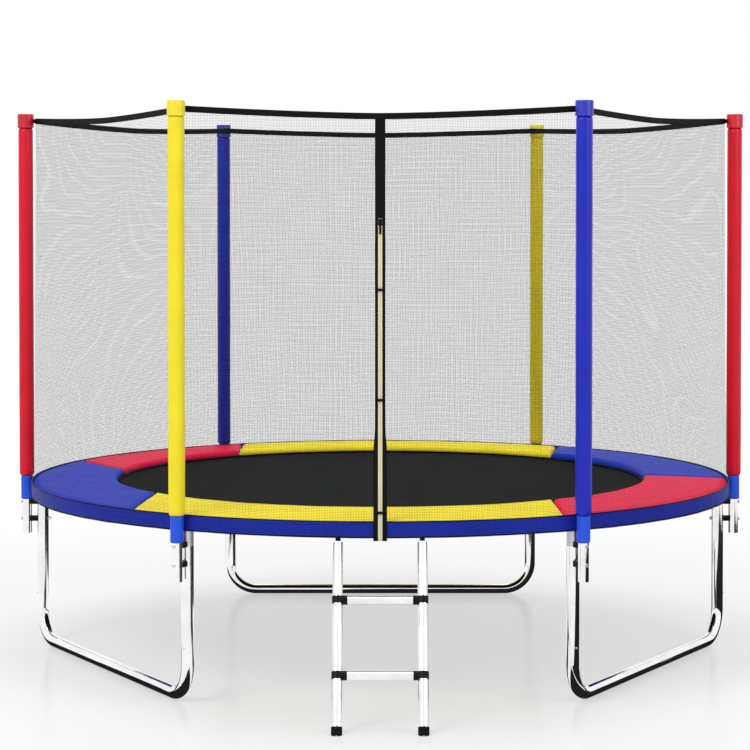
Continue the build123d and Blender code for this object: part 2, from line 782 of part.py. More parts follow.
leg_screw_radius = ring_radius + leg_tube_radius + seat_gap
leg_screw = Pos(leg_screw_radius, 0, leg_joint_height + leg_screw_rise) * make_screw()
ring_screw = Pos(ring_radius, 0, ring_height - ring_tube_radius - seat_gap) * Rot(0, 90, 0) * make_screw()
ring_screw = around(ring_screw, half_step + math.degrees(ring_screw_inset / ring_radius))
save("frame_screws", at_stations([leg_screw, ring_screw]))

v_ring = make_v_ring()
v_rings = [around(v_ring, turn) for turn in spring_turns()]
spring = make_spring()
save("v_rings", v_rings)
save("springs", [around(spring, turn) for turn in spring_turns()])
save("mat_webbing", [make_webbing()])
save("mat_sheet", [upright_rod(mat_radius, mat_bottom, mat_bottom + mat_thickness)])

for index, name in enumerate(pad_names):
    panel = make_pad_panel(pad_seams[index], pad_seams[(index + 1) % len(pad_seams)])
    if name == "yellow_front":
        panel = cut_hook_pockets(panel)
    save(f"pad_{name}", [panel])
save("pad_skirt", [make_skirt()])

for name in side_names:
    panel = make_net_panel(name)
    if name == "front":
        panel -= border_prism(cap_top)
    save(f"net_panel_{name}", [panel])
save("net_top_hem", [make_hem()])
save("entrance_border", [make_border()])
save("zip_tape", [make_zip_tape()])
save("zip_slider", [make_slider()])
for name, rise in tab_rises.items():
    save(f"entrance_tab_{name}", [make_tab(rise)])

sides = (-1, 1)
save("ladder_rails", [make_rail(side) for side in sides])
save("ladder_rungs", [make_rung(place) for place in rung_places()])
save("ladder_tees", [make_tee(side, place) for side in sides for place in rung_places()])
save("ladder_bolts", [make_ladder_bolt(side, place) for side in sides for place in rung_places()])
save("ladder_feet", [make_foot(side) for side in sides])
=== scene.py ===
import math

import bmesh
import bpy
from mathutils import Matrix, Vector, noise


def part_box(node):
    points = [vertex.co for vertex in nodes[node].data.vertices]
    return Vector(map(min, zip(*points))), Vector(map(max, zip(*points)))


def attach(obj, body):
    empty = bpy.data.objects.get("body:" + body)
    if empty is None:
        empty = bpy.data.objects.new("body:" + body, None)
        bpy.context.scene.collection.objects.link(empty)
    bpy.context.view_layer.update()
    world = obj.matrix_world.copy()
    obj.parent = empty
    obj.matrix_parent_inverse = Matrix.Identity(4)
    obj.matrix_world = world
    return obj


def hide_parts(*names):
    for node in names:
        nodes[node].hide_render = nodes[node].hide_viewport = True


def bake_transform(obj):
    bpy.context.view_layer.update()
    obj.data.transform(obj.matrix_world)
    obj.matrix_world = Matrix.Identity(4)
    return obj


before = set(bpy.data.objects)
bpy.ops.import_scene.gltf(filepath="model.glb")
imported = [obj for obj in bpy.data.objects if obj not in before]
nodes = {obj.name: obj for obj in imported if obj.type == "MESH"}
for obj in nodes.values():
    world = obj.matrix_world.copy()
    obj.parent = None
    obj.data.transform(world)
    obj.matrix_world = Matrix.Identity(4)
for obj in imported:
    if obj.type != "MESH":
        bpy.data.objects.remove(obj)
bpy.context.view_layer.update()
print("frame loaded:", len(nodes), "nodes")

stations = {"right": 0, "back_right": 60, "back_left": 120, "left": 180, "front_left": 240, "front_right": 300}
stationColours = {"right": "red", "back_right": "yellow", "back_left": "blue",
                  "left": "red", "front_left": "yellow", "front_right": "blue"}


# mesh helpers
def finishMesh(bm, name, body, materials, smooth=True):
    mesh = bpy.data.meshes.new(name)
    bm.to_mesh(mesh)
    bm.free()
    if smooth:
        mesh.shade_smooth()
    obj = bpy.data.objects.new(name, mesh)
    bpy.context.scene.collection.objects.link(obj)
    for material in materials:
        mesh.materials.append(material)
    if body:
        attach(obj, body)
    return obj


def addGrid(bm, columns, rows, place):
    # a subdivided sheet whose corners run 0..1 in u and v, put in place point by point, with a UV map in metres
    ret = bmesh.ops.create_grid(bm, x_segments=columns, y_segments=rows, size=0.5)
    uvLayer = bm.loops.layers.uv.verify()
    shares = {v: (v.co.x + 0.5, v.co.y + 0.5) for v in ret["verts"]}
    mapped = {}
    for v, (u, w) in shares.items():
        point, uv = place(u, w)
        v.co = point
        mapped[v] = uv
    for face in {f for v in ret["verts"] for f in v.link_faces}:
        for loop in face.loops:
            loop[uvLayer].uv = mapped[loop.vert]
    return ret["verts"]


def smoothStep(x):
    x = min(max(x, 0.0), 1.0)
    return x * x * (3 - 2 * x)


# shader helpers
class Graph:
    # a short way to write node trees: each call adds one node and joins its inputs
    def __init__(self, tree):
        self.tree = tree

    def add(self, kind, inputs=None, **props):
        node = self.tree.nodes.new(kind)
        for key, value in props.items():
            setattr(node, key, value)
        for key, value in (inputs or {}).items():
            socket = node.inputs[key]
            if isinstance(value, bpy.types.NodeSocket):
                self.tree.links.new(value, socket)
            elif socket.type == "RGBA" and len(value) == 3:
                socket.default_value = (*value, 1)
            else:
                socket.default_value = value
        return node

    def math(self, operation, a, b=0.0, c=0.0):
        node = self.tree.nodes.new("ShaderNodeMath")
        node.operation = operation
        for socket, value in zip(node.inputs, (a, b, c)):
            if isinstance(value, bpy.types.NodeSocket):
                self.tree.links.new(value, socket)
            else:
                socket.default_value = value
        return node.outputs[0]

    def ramp(self, value, stops):
        node = self.add("ShaderNodeValToRGB", {"Fac": value})
        ramp = node.color_ramp
        while len(ramp.elements) < len(stops):
            ramp.elements.new(0.5)
        for element, (position, colour) in zip(ramp.elements, stops):
            element.position = position
            element.color = (*colour, 1) if len(colour) == 3 else colour
        return node.outputs[0]


def makeGroup(name, inputs, outputs):
    group = bpy.data.node_groups.new(name, "ShaderNodeTree")
    for label, default in inputs:
        kind = "NodeSocketColor" if hasattr(default, "__len__") and len(default) == 4 else \
            "NodeSocketVector" if hasattr(default, "__len__") else "NodeSocketFloat"
        socket = group.interface.new_socket(name=label, in_out="INPUT", socket_type=kind)
        socket.default_value = default
    for label, kind in outputs:
        group.interface.new_socket(name=label, in_out="OUTPUT", socket_type=kind)
    graph = Graph(group)
    return group, graph, graph.add("NodeGroupInput").outputs, graph.add("NodeGroupOutput").inputs


def groupNode(graph, group, inputs):
    node = graph.tree.nodes.new("ShaderNodeGroup")
    node.node_tree = group
    for key, value in inputs.items():
        socket = node.inputs[key]
        if isinstance(value, bpy.types.NodeSocket):
            graph.tree.links.new(value, socket)
        else:
            socket.default_value = value
    return node


def colour(red, green, blue):
    # display colour 0..255 to the linear value the shaders take
    return tuple((c / 255 / 12.92) if c / 255 <= 0.04045 else ((c / 255 + 0.055) / 1.055) ** 2.4
                 for c in (red, green, blue))


def newMaterial(name):
    material = bpy.data.materials.new(name)
    material.use_nodes = True
    graph = Graph(material.node_tree)
    shader = material.node_tree.nodes["Principled BSDF"]
    return material, graph, shader


def link(graph, source, shader, name):
    graph.tree.links.new(source, shader.inputs[name])


def setBump(graph, shader, height, strength, distance):
    bump = graph.add("ShaderNodeBump", {"Height": height, "Strength": strength, "Distance": distance})
    link(graph, bump.outputs[0], shader, "Normal")


# shared effects
def makeMottleGroup():
    # slow patches and fine specks over a surface, both about 0..1
    group, g, ins, outs = makeGroup("mottle", [("Vector", (0, 0, 0)), ("Patch Scale", 4.0), ("Speck Scale", 900.0)],
                                    [("Patches", "NodeSocketFloat"), ("Specks", "NodeSocketFloat")])
    patches = g.add("ShaderNodeTexNoise", {"Vector": ins["Vector"], "Scale": ins["Patch Scale"],
                                           "Detail": 4.0, "Roughness": 0.55})
    specks = g.add("ShaderNodeTexNoise", {"Vector": ins["Vector"], "Scale": ins["Speck Scale"], "Detail": 2.0})
    g.tree.links.new(patches.outputs["Fac"], outs["Patches"])
    g.tree.links.new(specks.outputs["Fac"], outs["Specks"])
    return group


def makeWeaveGroup():
    # plain weave from two sets of threads; Height for bump, Gap is 1 in the holes between threads
    group, g, ins, outs = makeGroup("plain weave", [("Vector", (0, 0, 0)), ("Threads", 300.0), ("Cover", 0.6)],
                                    [("Height", "NodeSocketFloat"), ("Gap", "NodeSocketFloat")])
    split = g.add("ShaderNodeSeparateXYZ", {"Vector": ins["Vector"]})
    waves = []
    for axis in ("X", "Y"):
        turns = g.math("MULTIPLY", split.outputs[axis], ins["Threads"])
        waves.append((turns, g.math("ABSOLUTE", g.math("SINE", g.math("MULTIPLY", turns, math.pi)))))
    crossing = g.math("SINE", g.math("MULTIPLY", g.math("ADD", g.math("FLOOR", waves[0][0]),
                                                        g.math("FLOOR", waves[1][0])), math.pi / 2))
    over = g.math("GREATER_THAN", g.math("ABSOLUTE", crossing), 0.5)
    height = g.math("ADD", g.math("MULTIPLY", waves[0][1], over),
                    g.math("MULTIPLY", waves[1][1], g.math("SUBTRACT", 1.0, over)))
    g.tree.links.new(height, outs["Height"])
    limit = g.math("SUBTRACT", 1.0, ins["Cover"])
    gap = g.math("MULTIPLY", g.math("GREATER_THAN", waves[0][1], g.math("SUBTRACT", 1.0, limit)),
                 g.math("GREATER_THAN", waves[1][1], g.math("SUBTRACT", 1.0, limit)))
    g.tree.links.new(gap, outs["Gap"])
    return group


mottle = makeMottleGroup()
weave = makeWeaveGroup()


# materials
def makeCover(name, base, gloss=0.42, wrinkle=0.5, specular=0.28):
    # coated fabric: faint weave under a smooth skin, with soft creases
    material, g, shader = newMaterial(name)
    where = g.add("ShaderNodeTexCoord").outputs["Object"]
    spots = groupNode(g, mottle, {"Vector": where, "Patch Scale": 5.0, "Speck Scale": 700.0})
    deep = tuple(c * 0.90 for c in base)
    lift = tuple(min(c * 1.06 + 0.002, 1.0) for c in base)
    tone = g.ramp(spots.outputs["Patches"], [(0.30, deep), (0.52, base), (0.74, lift)])
    link(g, tone, shader, "Base Color")
    rough = g.math("MULTIPLY_ADD", spots.outputs["Patches"], 0.16, gloss - 0.08)
    link(g, rough, shader, "Roughness")
    creases = g.add("ShaderNodeTexNoise", {"Vector": where, "Scale": 13.0, "Detail": 3.0, "Distortion": 1.6})
    cloth = groupNode(g, weave, {"Vector": where, "Threads": 420.0, "Cover": 0.7})
    height = g.math("MULTIPLY_ADD", creases.outputs["Fac"], wrinkle,
                    g.math("MULTIPLY", cloth.outputs["Height"], 0.02))
    height = g.math("MULTIPLY_ADD", spots.outputs["Specks"], 0.015, height)
    setBump(g, shader, height, 0.55, 0.004)
    shader.inputs["Specular IOR Level"].default_value = specular
    return material


def makeMetal(name, base, roughness, spangle=0.0, streak=0.0):
    material, g, shader = newMaterial(name)
    where = g.add("ShaderNodeTexCoord").outputs["Object"]
    spots = groupNode(g, mottle, {"Vector": where, "Patch Scale": 9.0, "Speck Scale": 500.0})
    flakes = g.add("ShaderNodeTexVoronoi", {"Vector": where, "Scale": 95.0})
    flake = g.add("ShaderNodeSeparateColor", {"Color": flakes.outputs["Color"]}).outputs[0]
    mixed = g.math("MULTIPLY_ADD", flake, spangle, g.math("MULTIPLY", spots.outputs["Patches"], 1 - spangle))
    tone = g.ramp(mixed, [(0.2, tuple(c * 0.86 for c in base)), (0.8, tuple(min(c * 1.06, 1) for c in base))])
    link(g, tone, shader, "Base Color")
    shader.inputs["Metallic"].default_value = 1.0
    rough = g.math("MULTIPLY_ADD", mixed, 0.14 + streak, roughness - 0.05)
    link(g, rough, shader, "Roughness")
    setBump(g, shader, spots.outputs["Specks"], 0.05, 0.0006)
    return material


def makePlastic(name, base, roughness, grain=0.3, specular=0.5):
    material, g, shader = newMaterial(name)
    where = g.add("ShaderNodeTexCoord").outputs["Object"]
    spots = groupNode(g, mottle, {"Vector": where, "Patch Scale": 14.0, "Speck Scale": 1400.0})
    tone = g.ramp(spots.outputs["Patches"], [(0.25, tuple(c * 0.85 for c in base)),
                                             (0.75, tuple(min(c * 1.1 + 0.003, 1) for c in base))])
    link(g, tone, shader, "Base Color")
    link(g, g.math("MULTIPLY_ADD", spots.outputs["Specks"], 0.12, roughness - 0.05), shader, "Roughness")
    setBump(g, shader, spots.outputs["Specks"], grain, 0.0005)
    shader.inputs["Specular IOR Level"].default_value = specular
    return material


def makeWebbing(name, base, threads, roughness=0.75, coordinates="UV", specular=0.12):
    # heavy woven band or cloth with visible threads, with painted shade and highlight on each thread
    material, g, shader = newMaterial(name)
    where = g.add("ShaderNodeTexCoord").outputs[coordinates]
    cloth = groupNode(g, weave, {"Vector": where, "Threads": threads, "Cover": 0.75})
    spots = groupNode(g, mottle, {"Vector": where, "Patch Scale": 7.0, "Speck Scale": 900.0})
    dark = tuple(c * 0.55 for c in base)
    light = tuple(min(c * 1.25 + 0.004, 1) for c in base)
    # painted shade and highlight: colour follows the weave height, so each thread is lighter on its crown and darker
    # at its edges and in the gaps; this is mixed with random mottle
    shade = g.math("MULTIPLY_ADD", cloth.outputs["Height"], 0.7, g.math("MULTIPLY", spots.outputs["Patches"], 0.3))
    link(g, g.ramp(shade, [(0.15, dark), (0.55, base), (0.95, light)]), shader, "Base Color")
    link(g, g.math("MULTIPLY_ADD", spots.outputs["Patches"], 0.2, roughness - 0.1), shader, "Roughness")
    setBump(g, shader, cloth.outputs["Height"], 0.5, 0.0008)
    shader.inputs["Specular IOR Level"].default_value = specular
    return material


def makeNetMaterial(name, base, meshPitch, thread, cloudPitch):
    # square knitted mesh: thin threads, a little denser in broad bands, and clear between them
    material, g, shader = newMaterial(name)
    where = g.add("ShaderNodeTexCoord").outputs["UV"]
    wobble = g.add("ShaderNodeTexNoise", {"Vector": where, "Scale": 2.2, "Detail": 1.0})
    bent = g.add("ShaderNodeVectorMath", {0: where, 1: g.add("ShaderNodeVectorMath", {
        0: wobble.outputs["Color"], 1: (0.02, 0.02, 0)}, operation="MULTIPLY").outputs[0]}, operation="ADD")
    split = g.add("ShaderNodeSeparateXYZ", {"Vector": bent.outputs[0]})
    lines, bands = [], []
    for axis in ("X", "Y"):
        place = g.math("FRACT", g.math("DIVIDE", split.outputs[axis], meshPitch))
        away = g.math("ABSOLUTE", g.math("SUBTRACT", place, 0.5))
        lines.append(g.math("LESS_THAN", away, thread / meshPitch / 2))
        swing = g.math("COSINE", g.math("MULTIPLY", split.outputs[axis], 2 * math.pi / cloudPitch))
        bands.append(g.math("POWER", g.math("MULTIPLY_ADD", swing, 0.5, 0.5), 6.0))
    spots = groupNode(g, mottle, {"Vector": where, "Patch Scale": 3.0, "Speck Scale": 600.0})
    solid = g.math("MAXIMUM", lines[0], lines[1])
    dense = g.math("MULTIPLY_ADD", g.math("MAXIMUM", bands[0], bands[1]), 0.24, 0.66)
    link(g, g.math("MULTIPLY", solid, dense), shader, "Alpha")
    link(g, g.ramp(spots.outputs["Patches"], [(0.3, tuple(c * 0.8 for c in base)), (0.7, base)]),
         shader, "Base Color")
    link(g, g.math("MULTIPLY_ADD", spots.outputs["Specks"], 0.1, 0.65), shader, "Roughness")
    shader.inputs["Specular IOR Level"].default_value = 0.1
    return material


finishes = {
    "yellowPad": makeCover("yellowPad", colour(254, 232, 40), 0.5, specular=0.08),
    "redPad": makeCover("redPad", colour(236, 18, 72), 0.5, specular=0.07),
    "bluePad": makeCover("bluePad", colour(30, 54, 184), 0.5, specular=0.07),
    "skirtCover": makeCover("skirtCover", colour(28, 50, 182), 0.45, specular=0.14),
    "yellowFoam": makeCover("yellowFoam", colour(243, 224, 40), 0.36, 0.35),
    "redFoam": makeCover("redFoam", colour(216, 14, 42), 0.34, 0.35),
    "blueFoam": makeCover("blueFoam", colour(26, 38, 184), 0.34, 0.35),
    "collarCover": makeCover("collarCover", colour(36, 84, 222), 0.36, 0.5),
    "piping": makeCover("piping", colour(16, 16, 60), 0.4, 0.1, specular=0.08),
    "blackBinding": makeWebbing("blackBinding", colour(12, 12, 16), 800.0, 0.7, "Object"),
    "blackWebbing": makeWebbing("blackWebbing", colour(9, 9, 10), 600.0),
    "matCloth": makeWebbing("matCloth", colour(27, 29, 28), 400.0, 0.8, specular=0.02),
    "net": makeNetMaterial("net", colour(32, 33, 36), 0.0060, 0.0009, 0.024),
    "zipTape": makeWebbing("zipTape", colour(232, 222, 184), 1100.0),
    "zipTeeth": makePlastic("zipTeeth", colour(214, 204, 160), 0.4),
    "ringZinc": makeMetal("ringZinc", (0.62, 0.63, 0.65), 0.34, 0.35),
    "poleZinc": makeMetal("poleZinc", (0.62, 0.63, 0.65), 0.30, 0.30),
    "legChrome": makeMetal("legChrome", (0.93, 0.935, 0.94), 0.07, 0.0, -0.06),
    "ladderChrome": makeMetal("ladderChrome", (0.91, 0.915, 0.92), 0.09, 0.0, -0.04),
    "fastenerZinc": makeMetal("fastenerZinc", (0.70, 0.70, 0.70), 0.30, 0.2),
    "wireZinc": makeMetal("wireZinc", (0.60, 0.61, 0.62), 0.32, 0.1),
    "blackPlastic": makePlastic("blackPlastic", colour(9, 9, 10), 0.42, specular=0.12),
    "blackRubber": makePlastic("blackRubber", colour(8, 8, 8), 0.6, 0.6, specular=0.08),
    "redCap": makePlastic("redCap", colour(200, 20, 38), 0.3, 0.15),
    "yellowCap": makePlastic("yellowCap", colour(240, 220, 36), 0.3, 0.15),
    "blueCap": makePlastic("blueCap", colour(36, 44, 180), 0.3, 0.15),
}

nodeFinish = {
    "leg_base": "legChrome", "leg_uprights": "legChrome", "ring_segment": "ringZinc",
    "pole_lower": "legChrome", "poles_upper": "poleZinc", "pole_bolts": "fastenerZinc",
    "pole_nuts": "fastenerZinc", "frame_screws": "fastenerZinc", "pole_spacers": "blackPlastic",
    "pole_caps_red": "redCap", "pole_caps_yellow": "yellowCap", "pole_caps_blue": "blueCap",
    "ladder_rails": "ladderChrome", "ladder_rungs": "ladderChrome", "ladder_tees": "blackPlastic",
    "ladder_bolts": "fastenerZinc", "ladder_feet": "blackRubber",
}
for name, node in nodes.items():
    for start, finish in nodeFinish.items():
        if name.startswith(start):
            node.data.materials.clear()
            node.data.materials.append(finishes[finish])
print("materials made:", len(finishes))


# measures read from the frame
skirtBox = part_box("pad_skirt")
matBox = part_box("mat_sheet")
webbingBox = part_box("mat_webbing")
skirtRadius = skirtBox[1][0]
skirtLow, skirtHigh = skirtBox[0][2], skirtBox[1][2]
matRadius = matBox[1][0]
poleRadius = 1.570
halfSide = math.radians(30)


def polar(radius, angle, height):
    return Vector((radius * math.cos(angle), radius * math.sin(angle), height))


# safety pads
padShape = {
    "innerRadius": 1.1600, "outerRadius": 1.5300, "bottom": 0.7266, "outerTop": 0.7415, "innerTop": 0.7525,
    "cell": 0.0145, "pressure": 4.0, "swell": 0.006, "hookLift": 0.0036, "binding": 0.0022,
}
padSeams = [(55, 45), (117, 126), (156, 173), (230, 217), (298, 307), (356, 356)]
padNames = ["yellow_back", "red_left", "blue_left", "yellow_front", "red_right", "blue_right"]


def makePad(index):
    p = padShape
    name = padNames[index]
    first, second = [math.radians(a) for a in padSeams[index]], [math.radians(a) for a in padSeams[(index + 1) % 6]]
    if second[0] < first[0]:
        second = [a + 2 * math.pi for a in second]
    seamGap = 0.0001 / p["outerRadius"]
    length = (second[0] - first[0]) * p["outerRadius"]
    columns = max(int(length / p["cell"]), 8)
    rows = int((p["outerRadius"] - p["innerRadius"]) / p["cell"])

    def place(u, w):
        # straight seams: each end runs from its inner to its outer point
        ends = []
        for pair, push in ((first, seamGap), (second, -seamGap)):
            inner = polar(p["innerRadius"], pair[1] + push, 0)
            outer = polar(p["outerRadius"], pair[0] + push, 0)
            ends.append(inner.lerp(outer, w))
        radius = p["innerRadius"] + (p["outerRadius"] - p["innerRadius"]) * w
        low = math.atan2(ends[0].y, ends[0].x)
        high = math.atan2(ends[1].y, ends[1].x)
        while low < first[0] - 0.8:
            low += 2 * math.pi
        while high < low:
            high += 2 * math.pi
        angle = low + (high - low) * u
        top = p["innerTop"] + (p["outerTop"] - p["innerTop"]) * w
        point = polar(radius, angle, top)
        ripple = noise.noise(Vector((angle * 9, radius * 14, index))) * 0.0011
        point.z += ripple - 0.0011
        return point, (angle * p["outerRadius"], radius)

    bm = bmesh.new()
    addGrid(bm, columns, rows, place)
    lower = bmesh.ops.extrude_face_region(bm, geom=list(bm.faces), use_keep_orig=True)["geom"]
    for v in [e for e in lower if isinstance(e, bmesh.types.BMVert)]:
        v.co.z = p["bottom"]
        if name == "yellow_front" and abs(abs(v.co.x) - 0.16) < 0.03 and abs(v.co.y + 1.4914) < 0.045:
            v.co.z += p["hookLift"]
    bmesh.ops.recalc_face_normals(bm, faces=bm.faces)
    finish = name.split("_")[0] + "Pad"
    pad = finishMesh(bm, "pad" + name.title().replace("_", ""), None, [finishes[finish]])
    swellPad(pad)
    smooth = pad.modifiers.new("smooth", "SUBSURF")
    smooth.levels = smooth.render_levels = 1
    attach(pad, "frame")
    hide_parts("pad_" + name)
    return pad


def swellPad(pad):
    # fills the cover as foam does, then limits how far any point has moved
    p = padShape
    rest = [v.co.copy() for v in pad.data.vertices]
    held = pad.vertex_groups.new(name="held")
    for v in pad.data.vertices:
        if v.co.z < p["bottom"] + 0.004:
            held.add([v.index], 1.0, "REPLACE")
    cloth = pad.modifiers.new("cloth", "CLOTH")
    cloth.settings.quality = 4
    cloth.settings.mass = 0.4
    cloth.settings.tension_stiffness = 25
    cloth.settings.bending_stiffness = 2.0
    cloth.settings.use_pressure = True
    cloth.settings.uniform_pressure_force = p["pressure"]
    cloth.settings.effector_weights.gravity = 0
    cloth.settings.vertex_group_mass = "held"
    cloth.point_cache.frame_end = 20
    scene = bpy.context.scene
    for step in range(1, 21):
        scene.frame_set(step)
    shaped = pad.evaluated_get(bpy.context.evaluated_depsgraph_get()).to_mesh()
    moved = [v.co.copy() for v in shaped.vertices]
    pad.evaluated_get(bpy.context.evaluated_depsgraph_get()).to_mesh_clear()
    pad.modifiers.remove(cloth)
    pad.vertex_groups.clear()
    scene.frame_set(1)
    for v, start, end in zip(pad.data.vertices, rest, moved):
        shift = end - start
        if shift.length > p["swell"]:
            shift = shift.normalized() * p["swell"]
        v.co = start + shift
        flat = math.hypot(v.co.x, v.co.y)
        if flat > p["outerRadius"]:
            v.co.x *= p["outerRadius"] / flat
            v.co.y *= p["outerRadius"] / flat


def addHoop(bm, radius, height, pipe, sides=8, steps=360):
    # a thin round cord laid in a level circle
    before = set(bm.verts)
    bmesh.ops.create_circle(bm, segments=sides, radius=pipe, matrix=Matrix.Translation((radius, 0, height))
                            @ Matrix.Rotation(math.pi / 2, 4, "X"))
    fresh = [v for v in bm.verts if v not in before]
    bmesh.ops.spin(bm, geom=fresh + list({e for v in fresh for e in v.link_edges}), cent=(0, 0, 0), axis=(0, 0, 1),
                   angle=2 * math.pi, steps=steps, use_merge=True)


for index in range(6):
    makePad(index)
bm = bmesh.new()
addHoop(bm, padShape["innerRadius"] + 0.0006, padShape["bottom"] + padShape["binding"], padShape["binding"])
bmesh.ops.recalc_face_normals(bm, faces=bm.faces)
binding = finishMesh(bm, "padBinding", "frame", [finishes["piping"]])
print("safety pads made")


# foam sleeves and vinyl collars on the poles
sleeveShape = {"low": 0.7464, "high": 2.2856, "radius": 0.0327, "bore": 0.0214, "edge": 0.0035, "gather": 0.0011,
               "around": 40, "along": 150}
collarShape = {"low": 0.6398, "high": 0.7454, "radius": 0.0266, "bore": 0.0213, "edge": 0.003, "gather": 0.0007,
               "around": 36, "along": 26}


def addSleeve(bm, shape, centre, facing, seed):
    # a soft tube: outside up, rounded ends, inside down, with gathers near the ends and one sewn seam
    s = shape
    outer = []
    for i in range(s["along"] + 1):
        share = i / s["along"]
        height = s["low"] + (s["high"] - s["low"]) * share
        fromEnd = min(height - s["low"], s["high"] - height)
        rounding = 0.0
        if fromEnd < s["edge"]:
            rounding = s["edge"] - math.sqrt(max(s["edge"] ** 2 - (s["edge"] - fromEnd) ** 2, 0))
        outer.append((s["radius"] - rounding, height, fromEnd))
    profile = [(s["bore"], s["low"], 0.0)] + outer + [(s["bore"], s["high"], 0.0)]

    def place(u, w):
        turn = 2 * math.pi * u
        index = min(round(w * (len(profile))), len(profile))
        radius, height, fromEnd = profile[index % len(profile)]
        if radius > s["bore"] + 0.001:
            fold = noise.noise(Vector((math.cos(turn) * 1.4, math.sin(turn) * 1.4, height * 5 + seed * 7)))
            radius -= 0.0007 * (fold + 0.6)
            gathers = 0.5 + 0.5 * math.sin(turn * 11 + seed + 2 * noise.noise(Vector((turn, seed, 0))))
            radius -= s["gather"] * gathers * math.exp(-fromEnd / 0.02)
            fromSeam = abs((turn - math.pi + math.pi) % (2 * math.pi) - math.pi)
            radius -= 0.0016 * math.exp(-(fromSeam / 0.05) ** 2)
        angle = facing + turn
        point = Vector((centre.x + radius * math.cos(angle), centre.y + radius * math.sin(angle), height))
        return point, (turn * s["radius"], height)

    before = set(bm.verts)
    addGrid(bm, s["around"], len(profile), place)
    bmesh.ops.remove_doubles(bm, verts=[v for v in bm.verts if v not in before], dist=0.00001)


for seed, (station, degrees) in enumerate(stations.items()):
    angle = math.radians(degrees)
    shade = stationColours[station]
    bm = bmesh.new()
    addSleeve(bm, sleeveShape, polar(poleRadius, angle, 0), angle + math.pi, seed)
    bmesh.ops.recalc_face_normals(bm, faces=bm.faces)
    sleeve = finishMesh(bm, "foamSleeve" + station.title().replace("_", ""), "frame", [finishes[shade + "Foam"]])
    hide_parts("foam_sleeve_" + station)

bm = bmesh.new()
for seed, degrees in enumerate(stations.values()):
    angle = math.radians(degrees)
    addSleeve(bm, collarShape, polar(poleRadius, angle, 0), angle + math.pi, seed + 9)
bmesh.ops.recalc_face_normals(bm, faces=bm.faces)
collars = finishMesh(bm, "poleCollars", "frame", [finishes["collarCover"]])
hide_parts("pole_base_sleeves")
print("pole sleeves made")


# skirt with its piping
skirtShape = {"folds": 46, "foldDepth": 0.0045, "columns": 720, "rows": 10, "hem": 0.008, "pipe": 0.0028}


def makeSkirt():
    s = skirtShape

    def place(u, w):
        turn = 2 * math.pi * u
        height = skirtLow + 0.0006 + (skirtHigh - skirtLow - 0.0012) * w
        hang = 1 - w
        sway = noise.noise(Vector((math.cos(turn) * 9, math.sin(turn) * 9, 3)))
        fold = 0.5 + 0.5 * math.sin(turn * s["folds"] + 5 * sway)
        radius = skirtRadius - 0.0012 - s["foldDepth"] * hang ** 1.5 * fold * (0.6 + 0.4 * sway)
        return polar(radius, turn, height), (turn * skirtRadius, height)

    bm = bmesh.new()
    addGrid(bm, s["columns"], s["rows"], place)
    bmesh.ops.remove_doubles(bm, verts=bm.verts, dist=0.00001)
    for face in bm.faces:
        if face.calc_center_median().z < skirtLow + s["hem"]:
            face.material_index = 1
    bmesh.ops.recalc_face_normals(bm, faces=bm.faces)
    skirt = finishMesh(bm, "padSkirt", None, [finishes["skirtCover"], finishes["blackBinding"]])
    wall = skirt.modifiers.new("wall", "SOLIDIFY")
    wall.thickness = 0.0012
    wall.offset = 0
    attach(skirt, "frame")
    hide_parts("pad_skirt")
    bm = bmesh.new()
    addHoop(bm, skirtRadius - 0.0022, skirtHigh + 0.0016, s["pipe"])
    bmesh.ops.recalc_face_normals(bm, faces=bm.faces)
    piping = finishMesh(bm, "skirtPiping", "frame", [finishes["piping"]])


makeSkirt()
print("skirt made")


# mat, webbing, triangle rings and springs, in sectors
matShape = {"sectors": 12, "rows": 26, "columns": 10, "thickness": 0.0018, "stitchRows": (0.0085, 0.0145, 0.040)}
springShape = {"count": 60, "wire": 0.0015, "coil": 0.0085, "axis": 0.716, "coilStart": 1.3197, "coilEnd": 1.4570,
               "innerHook": 1.2937, "outerHook": 1.4837, "turns": 36, "perTurn": 8, "hookDrop": 0.0080,
               "innerLift": 0.0037}
ringShape = {"wire": 0.002, "corner": 1.3030, "base": 1.2660, "halfWidth": 0.0180, "height": 0.716}


def wireMesh(points, radius, sides, closed=False):
    # round wire along a line of points, as loose mesh data
    curve = bpy.data.curves.new("wire", "CURVE")
    curve.dimensions = "3D"
    line = curve.splines.new("POLY")
    line.points.add(len(points) - 1)
    for target, point in zip(line.points, points):
        target.co = (*point, 1)
    line.use_cyclic_u = closed
    curve.bevel_depth = radius
    curve.bevel_resolution = max((sides - 4) // 2, 0)
    curve.use_fill_caps = True
    holder = bpy.data.objects.new("wire", curve)
    mesh = bpy.data.meshes.new_from_object(holder)
    bpy.data.objects.remove(holder)
    bpy.data.curves.remove(curve)
    return mesh


def springPoints():
    s = springShape
    inner, outer = s["innerHook"], s["outerHook"]
    points = [(inner, 0, s["axis"] + s["innerLift"] - s["hookDrop"]), (inner, 0, s["axis"] + s["innerLift"] - 0.001),
              (inner + 0.001, 0, s["axis"] + s["innerLift"]), (s["coilStart"] - 0.006, 0, s["axis"] + s["innerLift"])]
    total = s["turns"] * s["perTurn"]
    for i in range(total + 1):
        angle = math.pi / 2 + 2 * math.pi * i / s["perTurn"]
        grow = min(1.0, (i + 1) / 5, (total + 1 - i) / 5)
        x = s["coilStart"] + 0.0015 + (s["coilEnd"] - s["coilStart"] - 0.003) * i / total
        points.append((x, s["coil"] * grow * math.cos(angle), s["axis"] + s["coil"] * grow * math.sin(angle)))
    points += [(s["coilEnd"] + 0.006, 0, s["axis"]), (outer - 0.001, 0, s["axis"]),
               (outer, 0, s["axis"] - 0.001), (outer, 0, s["axis"] - s["hookDrop"])]
    return points


